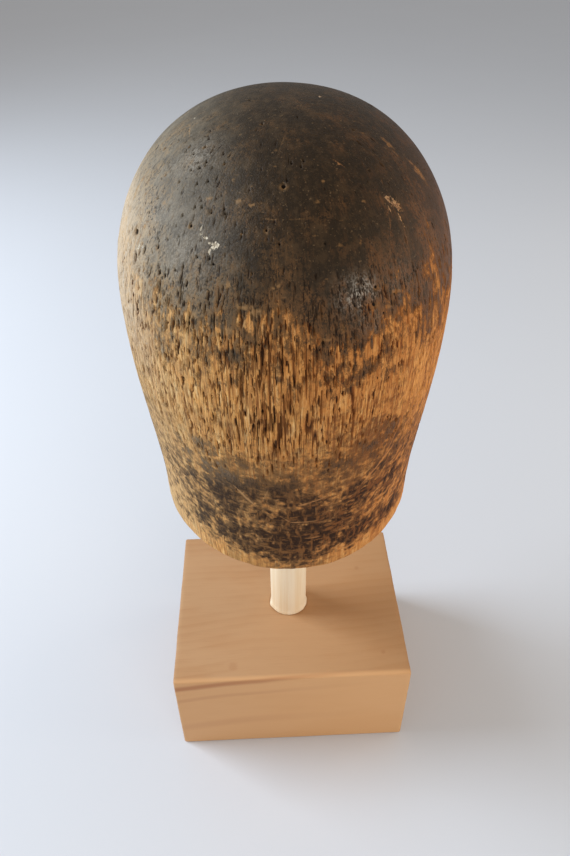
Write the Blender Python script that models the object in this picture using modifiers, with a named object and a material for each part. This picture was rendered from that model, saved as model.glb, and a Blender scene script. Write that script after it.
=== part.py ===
"""A hat block on a stand: a head-shaped block of wood on a round post, in a rectangular base.

Metres, +Z up. The origin is on the post's axis, on the surface that the base stands on. The front of the block faces -Y.
"""

import math

import bmesh
import bpy
from mathutils import Matrix, Vector

# Base: a sawn block with its edges eased.
BASE_WIDTH = 0.152
BASE_DEPTH = 0.121
BASE_HEIGHT = 0.076
BASE_EDGE_RADIUS = 0.0012

# Post: a round dowel, its two ends chamfered so that they enter their holes.
POST_DIAMETER = 0.024
POST_BARE_LENGTH = 0.1115
POST_END_CHAMFER = 0.0015
POST_HOLE_DEPTH = 0.045
BLOCK_SOCKET_DEPTH = 0.050
FIT_GAP = 0.0003

# Block: sizes at its widest, at its underside, and the heights between them.
HEAD_WIDTH = 0.1615
HEAD_DEPTH = 0.194
HEAD_BACKSET = 0.0118
UNDERSIDE_WIDTH = 0.142
UNDERSIDE_DEPTH = 0.142
UNDERSIDE_BACKSET = 0.0051
NECK_HEIGHT = 0.129
CROWN_HEIGHT = 0.0865
UNDERSIDE_EDGE_RADIUS = 0.004

# How square-shouldered the crown is: 2 is an ellipse, and more is fuller.
CROWN_FULLNESS = 2.14
# How far the neck's outline runs straight before it turns in, from the widest place and from the underside.
NECK_PULL_TOP = 0.050
NECK_PULL_BOTTOM = 0.048
# How far behind its middle the plan is widest, as a share of half its depth.
EGG_SHARE = 0.07

# Facets.
PLAN_POINTS = 72
CROWN_RINGS = 20
NECK_RINGS = 14
EDGE_RINGS = 4
ROUND_SIDES = 48
SMOOTH_ANGLE = math.radians(35)
MERGE_DISTANCE = 0.00001


def clear_scene():
    for obj in list(bpy.data.objects):
        bpy.data.objects.remove(obj, do_unlink=True)


def new_collection(name):
    collection = bpy.data.collections.new(name)
    bpy.context.scene.collection.children.link(collection)
    return collection


def wood(name, colour, roughness):
    material = bpy.data.materials.new(name)
    material.use_nodes = True
    shader = material.node_tree.nodes["Principled BSDF"]
    shader.inputs["Base Color"].default_value = (*colour, 1.0)
    shader.inputs["Roughness"].default_value = roughness
    shader.inputs["Metallic"].default_value = 0.0
    return material


def new_object(name, mesh, collection, material=None):
    obj = bpy.data.objects.new(name, mesh)
    collection.objects.link(obj)
    if material:
        mesh.materials.append(material)
    return obj


def shade_round(mesh):
    mesh.shade_smooth()
    mesh.set_sharp_from_angle(angle=SMOOTH_ANGLE)


def turned(name, outline, collection, material=None):
    """Turns an outline of (radius, height) points, from the top of the axis to its foot, about Z."""
    mesh = bpy.data.meshes.new(name)
    points = [(radius, 0.0, height) for radius, height in outline]
    edges = [(i, i + 1) for i in range(len(points) - 1)]
    mesh.from_pydata(points, edges, [])
    obj = new_object(name, mesh, collection, material)
    screw = obj.modifiers.new("Turn", "SCREW")
    screw.axis = "Z"
    screw.angle = math.tau
    screw.steps = ROUND_SIDES
    screw.render_steps = ROUND_SIDES
    screw.use_merge_vertices = True
    screw.merge_threshold = MERGE_DISTANCE
    return obj


def drill(name, piece, mouth_height, depth, direction, collection):
    """Bores a round blind hole for the post into a piece, on the piece's own Z axis.

    The hole's mouth is at mouth_height, and it runs up (direction 1) or down (direction -1) from there.
    """
    radius = POST_DIAMETER / 2 + FIT_GAP
    far_end = mouth_height + direction * depth
    outside = mouth_height - direction * POST_DIAMETER
    top, foot = max(far_end, outside), min(far_end, outside)
    cutter = turned(name, [(0, top), (radius, top), (radius, foot), (0, foot)], collection)
    cutter.parent = piece
    cutter.hide_render = True
    cutter.display_type = "WIRE"
    cut = piece.modifiers.new(name, "BOOLEAN")
    cut.operation = "DIFFERENCE"
    cut.solver = "EXACT"
    cut.object = cutter


def base_block(parts, cutters):
    mesh = bpy.data.meshes.new("base_block")
    cube = bmesh.new()
    size = Matrix.Diagonal((BASE_WIDTH, BASE_DEPTH, BASE_HEIGHT, 1.0))
    lift = Matrix.Translation((0.0, 0.0, BASE_HEIGHT / 2))
    bmesh.ops.create_cube(cube, size=1.0, matrix=lift @ size)
    cube.to_mesh(mesh)
    cube.free()
    base = new_object("base_block", mesh, parts, wood("pale_softwood", (0.56, 0.33, 0.17), 0.6))
    ease = base.modifiers.new("Eased edges", "BEVEL")
    ease.width = BASE_EDGE_RADIUS
    ease.segments = 3
    ease.limit_method = "ANGLE"
    drill("post_hole", base, BASE_HEIGHT, POST_HOLE_DEPTH + FIT_GAP, -1, cutters)
    return base


def post(parts, base):
    """The dowel stands on the bottom of its hole, and the block stands on the dowel's top."""
    radius = POST_DIAMETER / 2
    length = POST_HOLE_DEPTH + POST_BARE_LENGTH + BLOCK_SOCKET_DEPTH
    shoulder = radius - POST_END_CHAMFER
    outline = [
        (0, length),
        (shoulder, length),
        (radius, length - POST_END_CHAMFER),
        (radius, POST_END_CHAMFER),
        (shoulder, 0),
        (0, 0),
    ]
    dowel = turned("post", outline, parts, wood("birch", (0.80, 0.66, 0.46), 0.55))
    dowel.modifiers["Turn"].use_smooth_shade = True
    dowel.location = Vector((0.0, 0.0, BASE_HEIGHT - POST_HOLE_DEPTH))
    dowel.parent = base
    return dowel


def lerp(first, last, share):
    return first + (last - first) * share


def neck_outline():
    """(half width, height) from the widest place down to the top of the rounded lower edge, as a cubic curve."""
    widest, foot = HEAD_WIDTH / 2, UNDERSIDE_WIDTH / 2
    start = Vector((widest, NECK_HEIGHT))
    pull_top = Vector((widest, NECK_HEIGHT - NECK_PULL_TOP))
    pull_bottom = Vector((foot, UNDERSIDE_EDGE_RADIUS + NECK_PULL_BOTTOM))
    end = Vector((foot, UNDERSIDE_EDGE_RADIUS))
    outline = []
    for i in range(NECK_RINGS + 1):
        t = i / NECK_RINGS
        s = 1 - t
        outline.append(s**3 * start + 3 * s * s * t * pull_top + 3 * s * t * t * pull_bottom + t**3 * end)
    return outline


def crown_outline():
    """(half width, height) from just below the top of the crown down to the widest place, a superellipse."""
    power = 2 / CROWN_FULLNESS
    outline = []
    for i in range(1, CROWN_RINGS):
        turn = math.pi / 2 * (1 - i / CROWN_RINGS)
        half_width = HEAD_WIDTH / 2 * math.cos(turn) ** power
        outline.append(Vector((half_width, NECK_HEIGHT + CROWN_HEIGHT * math.sin(turn) ** power)))
    return outline


def edge_outline():
    """(half width, height) round the lower edge, down to the flat of the underside."""
    middle = UNDERSIDE_WIDTH / 2 - UNDERSIDE_EDGE_RADIUS
    outline = []
    for i in range(1, EDGE_RINGS + 1):
        turn = math.pi / 2 * i / EDGE_RINGS
        half_width = middle + UNDERSIDE_EDGE_RADIUS * math.cos(turn)
        outline.append(Vector((half_width, UNDERSIDE_EDGE_RADIUS * (1 - math.sin(turn)))))
    return outline


def head_ring(half_width, height):
    """One level of the block: an egg-shaped oval, longer and set further back towards the head than at the underside."""
    rise = min(height / NECK_HEIGHT, 1.0)
    share = rise * (2 - rise)
    length_to_width = lerp(UNDERSIDE_DEPTH / UNDERSIDE_WIDTH, HEAD_DEPTH / HEAD_WIDTH, share)
    middle = lerp(UNDERSIDE_BACKSET, HEAD_BACKSET, share)
    points = []
    for i in range(PLAN_POINTS):
        turn = math.tau * i / PLAN_POINTS
        x = half_width * math.cos(turn)
        y = middle + half_width * length_to_width * (math.sin(turn) + EGG_SHARE * math.cos(turn) ** 2)
        points.append(Vector((x, y, height)))
    return points


def head_mesh():
    """Lofts the block through its rings, closed by a fan at the crown and one flat face below."""
    rings = [head_ring(*point) for point in crown_outline() + neck_outline() + edge_outline()]
    loft = bmesh.new()
    levels = [[loft.verts.new(point) for point in ring] for ring in rings]
    top = loft.verts.new((0.0, HEAD_BACKSET, NECK_HEIGHT + CROWN_HEIGHT))
    for i in range(PLAN_POINTS):
        j = (i + 1) % PLAN_POINTS
        loft.faces.new((top, levels[0][i], levels[0][j]))
        for upper, lower in zip(levels, levels[1:]):
            loft.faces.new((upper[i], lower[i], lower[j], upper[j]))
    loft.faces.new(reversed(levels[-1]))
    mesh = bpy.data.meshes.new("head_block")
    loft.to_mesh(mesh)
    loft.free()
    shade_round(mesh)
    return mesh


def head_block(parts, cutters, dowel):
    block = new_object("head_block", head_mesh(), parts, wood("old_dark_wood", (0.12, 0.07, 0.04), 0.5))
    block.location = Vector((0.0, 0.0, POST_HOLE_DEPTH + POST_BARE_LENGTH))
    block.parent = dowel
    drill("block_socket", block, 0.0, BLOCK_SOCKET_DEPTH + FIT_GAP, 1, cutters)
    return block


def main():
    clear_scene()
    parts = new_collection("hat_block")
    cutters = new_collection("cutters")
    base = base_block(parts, cutters)
    dowel = post(parts, base)
    head_block(parts, cutters, dowel)


main()
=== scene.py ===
"""An old hat block on its stand: its worn wood, its post and its base, on a plain pale floor.

Metres, +Z up. A place on the block is given by its turn, in degrees counter-clockwise from +X seen from
above (270 is the front), and by how many millimetres it lies down the side from the top of the crown.
"""

import math

import bpy
import numpy as np
from mathutils import Euler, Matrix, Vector


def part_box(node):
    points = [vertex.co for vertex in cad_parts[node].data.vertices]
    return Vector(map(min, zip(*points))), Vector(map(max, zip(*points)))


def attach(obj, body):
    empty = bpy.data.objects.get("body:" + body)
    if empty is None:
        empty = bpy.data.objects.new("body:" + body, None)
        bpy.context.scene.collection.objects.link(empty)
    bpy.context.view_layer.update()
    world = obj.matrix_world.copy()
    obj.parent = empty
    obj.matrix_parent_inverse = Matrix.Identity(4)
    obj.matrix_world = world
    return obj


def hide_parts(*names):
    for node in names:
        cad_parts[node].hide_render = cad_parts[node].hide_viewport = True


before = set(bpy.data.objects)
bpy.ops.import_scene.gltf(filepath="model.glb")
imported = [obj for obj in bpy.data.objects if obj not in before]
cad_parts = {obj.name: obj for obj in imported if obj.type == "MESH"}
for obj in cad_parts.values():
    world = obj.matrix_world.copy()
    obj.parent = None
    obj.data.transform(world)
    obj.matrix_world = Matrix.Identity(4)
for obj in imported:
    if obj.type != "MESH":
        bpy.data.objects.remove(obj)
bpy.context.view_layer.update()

MM = 0.001

# The block's own sizes that its box doesn't give.
UNDERSIDE_WIDTH = 0.142
UNDERSIDE_DEPTH = 0.142
UNDERSIDE_BACKSET = 0.0051
HEAD_BACKSET = 0.0118
CROWN_HEIGHT = 0.0865
EDGE_RADIUS = 0.004
CROWN_FULLNESS = 2.14
NECK_PULL_TOP = 0.050
NECK_PULL_BOTTOM = 0.048
EGG_SHARE = 0.07
SOCKET_RADIUS = 0.0123
SOCKET_DEPTH = 0.0503

# The base's and the post's own sizes that their boxes don't give.
BASE_CORNER_RADIUS = 0.0016
BASE_EDGE_RADIUS = 0.0012
POST_HOLE_RADIUS = 0.0123
POST_HOLE_DEPTH = 0.0453
POST_HOLE_EASE = 0.0002
POST_CHAMFER = 0.0015

# How finely the block is made: its columns are closer together at the front, where it is most worn.
COLUMNS = 896
FEWEST_COLUMNS = 56
SOCKET_COLUMNS = 112
FRONT_CROWDING = 1.2
CROWDED_TURN_DEG = 266
CROWDED_HALF_DEG = 56
CROWDING_SAMPLES = 721
RING_STEP_MM = 0.75
OUTLINE_POINTS = 400
EDGE_POINTS = 50
UNDERSIDE_RINGS = 22
SOCKET_RINGS = 12
# Noise that follows the grain is laid round a cylinder of this radius, to run straight down the side.
GRAIN_RADIUS = 0.076
# A search for near points goes this much wider than its reach, and takes columns to be no closer than this.
SEARCH_SPARE = 1.3
SEARCH_SPACING_MM = 0.01

rng = np.random.default_rng(1907)


def smooth(low, high, value):
    """0 below low, 1 above high, and an even curve between."""
    share = np.clip((value - low) / (high - low), 0.0, 1.0)
    return share * share * (3 - 2 * share)


def lerp(first, last, share):
    return first + (last - first) * share


def unit(vectors):
    return vectors / np.linalg.norm(vectors, axis=-1, keepdims=True)


def turn_gap(turn_deg, other_deg):
    """How far one turn is from another, from -180 to 180."""
    return (turn_deg - other_deg + 180.0) % 360.0 - 180.0


def hump(turn_deg, middle_deg, half_deg):
    """1 at a turn, falling away to both sides."""
    return np.exp(-((turn_gap(turn_deg, middle_deg) / half_deg) ** 2))


def circle(radius, height, turn):
    return np.stack([radius * np.cos(turn), radius * np.sin(turn), height + 0 * turn], axis=1)


# Noise on points.

HASH_START = 2654435761
HASH_STEP = 2654435769
HASH_PRIMES = (374761393, 668265263, 2246822519)
# Each finer layer of noise is moved this many cells and this many seeds on, and the sum is scaled up.
OCTAVE_SHIFT = 17.3
OCTAVE_SEED_STEP = 31
NOISE_GAIN = 1.6


def hashed(cells, seed):
    """A value from 0 to 1 for each whole-numbered cell."""
    mixed = np.full(cells.shape[:-1], seed * HASH_START % 2**32, dtype=np.uint32)
    for axis, prime in enumerate(HASH_PRIMES):
        mixed ^= (cells[..., axis].astype(np.int64) * prime % 2**32).astype(np.uint32)
        mixed *= np.uint32(HASH_STEP)
        mixed ^= mixed >> np.uint32(15)
    mixed *= np.uint32(HASH_PRIMES[-1])
    mixed ^= mixed >> np.uint32(13)
    return mixed.astype(np.float64) / 2**32


def value_noise(points, seed):
    """Smooth noise from -1 to 1, one cell to a unit."""
    cell = np.floor(points)
    share = smooth(0, 1, points - cell)
    total = 0.0
    for corner in np.ndindex(2, 2, 2):
        weight = 1.0
        for axis in range(3):
            weight = weight * (share[..., axis] if corner[axis] else 1 - share[..., axis])
        total = total + weight * hashed(cell + corner, seed)
    return total * 2 - 1


def noise(points, size_mm, seed, octaves=3, fall=0.55):
    """Layered noise from about -1 to 1. size_mm is its coarsest cell, or one for each of X, Y and Z."""
    scaled = points / (np.array(size_mm) * MM)
    total, weight, reach = 0.0, 1.0, 0.0
    for octave in range(octaves):
        moved = scaled * 2**octave + OCTAVE_SHIFT * octave
        total = total + weight * value_noise(moved, seed + OCTAVE_SEED_STEP * octave)
        reach += weight
        weight *= fall
    return total / reach * NOISE_GAIN


# The block's outside.


def side_outline():
    """(half width, height above the underside) down the side, from its top to the flat of its underside."""
    low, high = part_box("head_block")
    half, neck, foot = (high[0] - low[0]) / 2, high[2] - low[2] - CROWN_HEIGHT, UNDERSIDE_WIDTH / 2
    power = 2 / CROWN_FULLNESS
    turn = math.pi / 2 * (1 - np.arange(OUTLINE_POINTS) / OUTLINE_POINTS)
    crown = np.stack([half * np.cos(turn) ** power, neck + CROWN_HEIGHT * np.sin(turn) ** power], axis=1)
    crown[0] = (0.0, neck + CROWN_HEIGHT)
    a, b = np.array([half, neck]), np.array([half, neck - NECK_PULL_TOP])
    c, d = np.array([foot, EDGE_RADIUS + NECK_PULL_BOTTOM]), np.array([foot, EDGE_RADIUS])
    t = np.linspace(0, 1, OUTLINE_POINTS)[:, None]
    s = 1 - t
    taper = s**3 * a + 3 * s * s * t * b + 3 * s * t * t * c + t**3 * d
    turn = math.pi / 2 * np.linspace(0, 1, EDGE_POINTS)[1:]
    edge_width = foot - EDGE_RADIUS + EDGE_RADIUS * np.cos(turn)
    edge = np.stack([edge_width, EDGE_RADIUS * (1 - np.sin(turn))], axis=1)
    return np.concatenate([crown, taper, edge])


def block_points(half_width, height, turn):
    """Points on the block at each half width and height, round each turn."""
    low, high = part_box("head_block")
    rise = np.minimum(height / (high[2] - low[2] - CROWN_HEIGHT), 1.0)
    share = rise * (2 - rise)
    ratio = lerp(UNDERSIDE_DEPTH / UNDERSIDE_WIDTH, (high[1] - low[1]) / (high[0] - low[0]), share)
    middle = lerp(UNDERSIDE_BACKSET, HEAD_BACKSET, share)
    x = half_width * np.cos(turn)
    y = middle + half_width * ratio * (np.sin(turn) + EGG_SHARE * np.cos(turn) ** 2)
    return np.stack([x, y, low[2] + height + 0 * x], axis=-1)


def column_turns():
    """The turn of each column in degrees, closer together at the front."""
    even = np.linspace(0, 360, CROWDING_SAMPLES)
    crowding = 1 + FRONT_CROWDING * np.exp(-((turn_gap(even, CROWDED_TURN_DEG) / CROWDED_HALF_DEG) ** 4))
    reached = np.concatenate([[0], np.cumsum((crowding[1:] + crowding[:-1]) / 2)])
    return np.interp(np.arange(COLUMNS) / COLUMNS, reached / reached[-1], even)


class Side:
    """The block's outside as a grid, with a row for each step down the side and a column for each turn."""

    def __init__(self):
        outline = side_outline()
        length = np.concatenate([[0], np.cumsum(np.hypot(*np.diff(outline, axis=0).T))]) / MM
        rows = round(length[-1] / RING_STEP_MM)
        self.down = np.linspace(length[-1] / rows, length[-1], rows)
        self.turn = column_turns()
        half_width, height = (np.interp(self.down, length, values)[:, None] for values in outline.T)
        self.half_width = half_width[:, 0]
        self.points = block_points(half_width, height, np.radians(self.turn)[None, :])
        self.along = unit(np.roll(self.points, -1, axis=1) - np.roll(self.points, 1, axis=1))
        top = np.array([0.0, HEAD_BACKSET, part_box("head_block")[1][2]])
        above = np.concatenate([np.broadcast_to(top, (1, COLUMNS, 3)), self.points[:-1]])
        below = np.concatenate([self.points[1:], self.points[-1:]])
        self.downward = unit(below - above)
        self.normal = unit(np.cross(self.downward, self.along))
        self.down_all, self.turn_all = np.meshgrid(self.down, self.turn, indexing="ij")
        angle = np.radians(self.turn_all)
        around = [GRAIN_RADIUS * np.cos(angle), GRAIN_RADIUS * np.sin(angle)]
        self.grain = np.stack([*around, -self.down_all * MM], axis=-1)

    def cell(self, turn_deg, down_mm):
        row = int(np.clip(np.searchsorted(self.down, down_mm), 1, len(self.down) - 2))
        return row, int(np.searchsorted(self.turn, turn_deg % 360)) % COLUMNS

    def near(self, turn_deg, down_mm, reach_mm):
        """The points within reach of a place, and how far each lies round and down from it in mm."""
        row, column = self.cell(turn_deg, down_mm)
        steps = int(reach_mm / RING_STEP_MM) + 2
        rows = np.arange(max(row - steps, 0), min(row + steps + 1, len(self.down)))
        gaps = self.points[rows, column] - self.points[rows, (column + 1) % COLUMNS]
        spacing = max(np.linalg.norm(gaps, axis=-1).min() / MM, SEARCH_SPACING_MM)
        wide = min(int(SEARCH_SPARE * reach_mm / spacing) + 2, COLUMNS // 2 - 1)
        where = np.ix_(rows, np.arange(column - wide, column + wide + 1) % COLUMNS)
        offset = (self.points[where] - self.points[row, column]) / MM
        return where, offset @ self.along[row, column], offset @ self.downward[row, column]


side = Side()

# How worn the block is. Each place is a turn in degrees and millimetres down the side.

# The lower edge of the crown's dark finish, round the block.
FINISH_EDGE = (
    (0, 107), (15, 106), (28, 113), (40, 108), (52, 118), (66, 110), (80, 104), (92, 112),
    (104, 102), (118, 110), (130, 98), (142, 104), (152, 100), (164, 98), (180, 96), (195, 94),
    (205, 99), (212, 105), (218, 109), (224, 112), (230, 114), (235, 113), (238, 108), (240, 112),
    (243, 115), (246, 113), (250, 112), (254, 115), (258, 113), (262, 108), (268, 108), (273, 111),
    (277, 117), (282, 122), (286, 125), (290, 121), (296, 116), (303, 112), (308, 112), (312, 116),
    (315, 118), (318, 118), (322, 116), (325, 118), (328, 121), (333, 118), (345, 110), (360, 107),
)
# How many millimetres it takes that edge to go from solid to gone.
FINISH_FADE_MM = 11
# Patches of dark finish left below that edge: turn, down, half width and half height in mm, strength.
FINISH_PATCHES = (
    (252, 116, 7, 4, 1.1), (281, 109, 9, 8, 0.8), (257, 111, 5, 4, 0.8), (229, 119, 4, 9, 0.7),
    (291, 126, 6, 4, 0.8), (300, 133, 8, 4, 0.9), (297, 122, 6, 4, 0.7), (268, 128, 3, 4, 0.5),
    (243, 198, 10, 17, 1.0), (250, 190, 9, 7, 1.1), (255, 192, 6, 12, 1.0), (265, 188, 9, 9, 0.9),
    (274, 208, 10, 9, 1.2), (249, 235, 9, 11, 0.9), (258, 236, 11, 12, 0.9), (269, 236, 14, 15, 1.4),
    (281, 231, 15, 13, 1.2), (298, 238, 12, 6, 1.2), (283, 175, 10, 9, 0.7), (301, 168, 18, 14, 0.8),
    (304, 186, 11, 12, 0.75), (295, 210, 13, 12, 0.8), (312, 208, 9, 10, 0.8), (295, 252, 4, 3, 1.1),
    (276, 255, 6, 2, 1.0), (318, 188, 8, 12, 0.5), (232, 222, 9, 14, 0.6), (226, 200, 9, 14, 0.4),
    (239, 168, 7, 5, 0.7), (253, 174, 8, 5, 0.7), (232, 182, 9, 7, 0.45), (318, 240, 12, 6, 0.9),
    (246, 215, 10, 6, 0.8), (262, 214, 10, 8, 0.7), (287, 222, 9, 8, 0.9), (240, 232, 7, 8, 0.6),
    (20, 215, 22, 26, 0.9), (352, 230, 18, 20, 0.8), (45, 190, 20, 18, 0.8), (70, 224, 24, 22, 1.0),
    (98, 208, 20, 26, 1.0), (122, 228, 22, 18, 0.9), (150, 205, 18, 24, 0.8), (172, 226, 14, 18, 0.7),
    (85, 172, 16, 10, 0.7), (8, 178, 14, 12, 0.6), (336, 205, 12, 18, 0.6), (196, 214, 12, 16, 0.6),
)
# Browned places: turn, down, how far each reaches round in degrees and down in mm, strength.
RED_GRIME = (292, 170, 18, 23, 1.15)
BROWN_GRIME = ((276, 176, 22, 19, 0.3), (211, 166, 12, 26, 0.5))
# Zones down the side in mm: from where each one begins to where it is complete.
LOW_FINISH_MM = (170, 200)
CLEAR_BAND_TOP_MM = (128, 138)
CLEAR_BAND_FOOT_MM = (174, 160)
BARE_FOOT_MM = (247, 257)
GRIME_MM = (148, 188)
CLEANER_FOOT_MM = (244, 256)
WORN_RIM_MM = (252, 262)
# The torn band, from just over the finish's edge to where it has healed.
TORN_EDGE_MM = (-8, 6)
HEALED_MM = (146, 184)
# Soft patches are worked out as far as this many times their half size.
PATCH_REACH = 2.2


def finish_edge(turn_deg):
    """How far down the crown's finish reaches at each turn."""
    return np.interp(turn_deg, *np.array(FINISH_EDGE, float).T)


def raise_to(field, where, least):
    """Brings a field up to at least these values at a place."""
    field[where] = np.maximum(field[where], least)


def patches(places):
    """The strongest of several soft oval patches at each point."""
    field = np.zeros_like(side.down_all)
    for turn_deg, down_mm, half_wide, half_tall, strength in places:
        where, across, down = side.near(turn_deg, down_mm, PATCH_REACH * max(half_wide, half_tall))
        raise_to(field, where, strength * np.exp(-((across / half_wide) ** 2) - (down / half_tall) ** 2))
    return field


def spot(turn_deg, down_mm, half_deg, half_mm, strength):
    """A soft spot on the side, falling away in degrees and millimetres."""
    fall = np.exp(-(((side.down_all - down_mm) / half_mm) ** 2))
    return strength * hump(side.turn_all, turn_deg, half_deg) * fall


def finish_field():
    """How much dark finish is left: above 0 it covers the wood, and below 0 it is worn through."""
    points, grain, down, turn = side.points, side.grain, side.down_all, side.turn_all
    fade_mm = FINISH_FADE_MM * (1 + hump(turn, 195, 20) + 0.7 * hump(turn, 321, 6))
    crown = np.clip((finish_edge(turn) - down) / fade_mm, -3.0, 3.0)
    crown = np.where(crown < -0.7, 1.8 * crown + 0.56, crown)
    drips = noise(grain, (1.6, 1.6, 9), 11, 3, 0.7)
    blots = noise(points, (6, 6, 7), 12, 3, 0.65)
    crown = crown + 0.7 * drips + 1.2 * blots + 0.35 * noise(points, 26, 17, 2)
    weave = np.maximum(noise(grain, (2.1, 2.1, 9), 13, 2), noise(grain, (9, 9, 2.1), 14, 2))
    spots = noise(points, (4, 4, 5), 15, 3, 0.7)
    strokes = np.clip(1 - np.abs(noise(points, (7, 7, 6), 19, 2)) / 0.3, 0, 1) * smooth(-0.2, 0.5, blots)
    reach = smooth(*LOW_FINISH_MM, down) * (0.25 + 0.75 * hump(turn, 268, 45))
    low = 1.9 * patches(FINISH_PATCHES) - 1.0 + 0.55 * reach
    low = low - 0.8 * smooth(*CLEAR_BAND_TOP_MM, down) * smooth(*CLEAR_BAND_FOOT_MM, down)
    low = low + 0.9 * spots - 0.9 * reach * (weave - 0.3) - 1.1 * strokes
    foot = smooth(*BARE_FOOT_MM, down + 4 * noise(points, 12, 16, 3))
    low = low - 2.4 * foot * (1 - 0.9 * hump(turn, 269, 11))
    return np.maximum(crown, low)


def grime_field():
    """How far bare wood is browned by handling, from 0 to 1: most in the lower half."""
    down, turn = side.down_all, side.turn_all
    foot = smooth(*CLEANER_FOOT_MM, down)
    lower = smooth(*GRIME_MM, down) * (1 - 0.85 * foot * (1 - 0.8 * hump(turn, 272, 18)))
    lower = lower * (0.4 + 0.44 * hump(turn, 272, 34) + 0.2 * hump(turn, 84, 60))
    for place in BROWN_GRIME:
        lower = lower + spot(*place)
    clouds = noise(side.points, (13, 13, 16), 18, 3)
    return np.clip(np.maximum(lower, spot(*RED_GRIME)) + 0.3 * clouds * (1 - 0.7 * foot), 0, 1)


def torn_field():
    """How deeply the grain is torn: strongest in the middle of the front, under the crown's finish."""
    down, turn = side.down_all, side.turn_all
    band = smooth(*TORN_EDGE_MM, down - finish_edge(turn)) * (1 - smooth(*HEALED_MM, down))
    return band * (0.25 + 0.75 * np.maximum(hump(turn, 265, 19), 0.6 * hump(turn, 84, 26)))


# Furrows: about half their spacing and a typical length in mm, seed, strength.
FURROWS = (
    (2.7, 17, 51, 1.0),
    (1.5, 9, 54, 0.6),
)
# How dark the furrows are painted: painted shade in them.
FURROW_DARKNESS = 0.75


def furrow_field(torn):
    """Long straight furrows in the grain: 1 at the bottom of one, and 0 on the ridges between them."""
    furrow = np.zeros_like(torn)
    spacing = np.roll(side.points, -1, axis=1) - np.roll(side.points, 1, axis=1)
    spacing = np.linalg.norm(spacing, axis=-1) / MM
    for cell_mm, length_mm, seed, strength in FURROWS:
        line = noise(side.grain, (cell_mm, cell_mm, 6 * length_mm), seed, 1)
        slope = np.abs(np.roll(line, -1, axis=1) - np.roll(line, 1, axis=1)) / spacing
        gap = np.abs(line) / np.maximum(slope, 0.3)
        breaks = noise(side.grain, (cell_mm, cell_mm, length_mm), seed + 1, 2)
        wide = (0.15 + 0.5 * torn) * smooth(-0.1, 0.7, breaks + 0.9 * torn - 0.6)
        furrow = np.maximum(furrow, strength * np.clip(1 - gap / (wide + 0.001), 0, 1))
    return furrow * smooth(0.1, 0.35, torn)


def ragged_oval(place, half_wide, half_tall, reach, rough, *noise_settings, tilt_deg=0.0):
    """The points near a place, and how far out each lies: 1 is the ragged edge of an oval."""
    where, across, down = side.near(*place, reach * max(half_wide, half_tall))
    tilt = math.radians(tilt_deg)
    u = across * math.cos(tilt) + down * math.sin(tilt)
    v = down * math.cos(tilt) - across * math.sin(tilt)
    ragged = rough * noise(side.points[where], *noise_settings)
    return where, np.hypot(u / half_wide, v / half_tall) + ragged


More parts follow.
